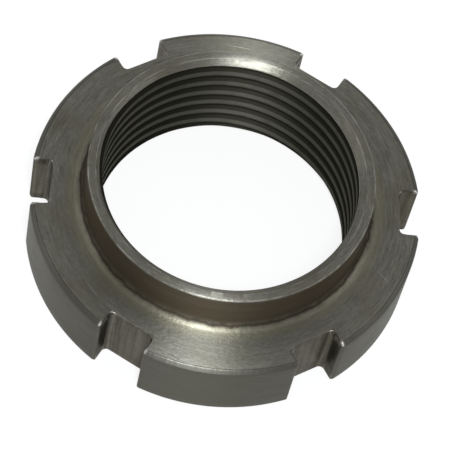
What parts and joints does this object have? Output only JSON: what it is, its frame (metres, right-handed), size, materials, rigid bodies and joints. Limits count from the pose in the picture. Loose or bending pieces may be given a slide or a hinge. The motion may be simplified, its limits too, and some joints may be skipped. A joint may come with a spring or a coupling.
{
  "type": "castle nut",
  "caption": "Round steel castle nut with a short hub, a threaded bore and hook-spanner slots across its rim.",
  "frame": {"origin": "centre of the threaded bore, in the plane of the flat bearing face", "axes": "+Z along the thread's axis from the bearing face to the hub's end, +X through the middle of one slot"},
  "size_m": [0.0872, 0.088, 0.028],
  "materials": {
    "turned_steel": "turned and milled, bare, lightly oiled"
  },
  "bodies": {
    "root": {"castle_nut": "turned_steel"}
  },
  "joints": []
}
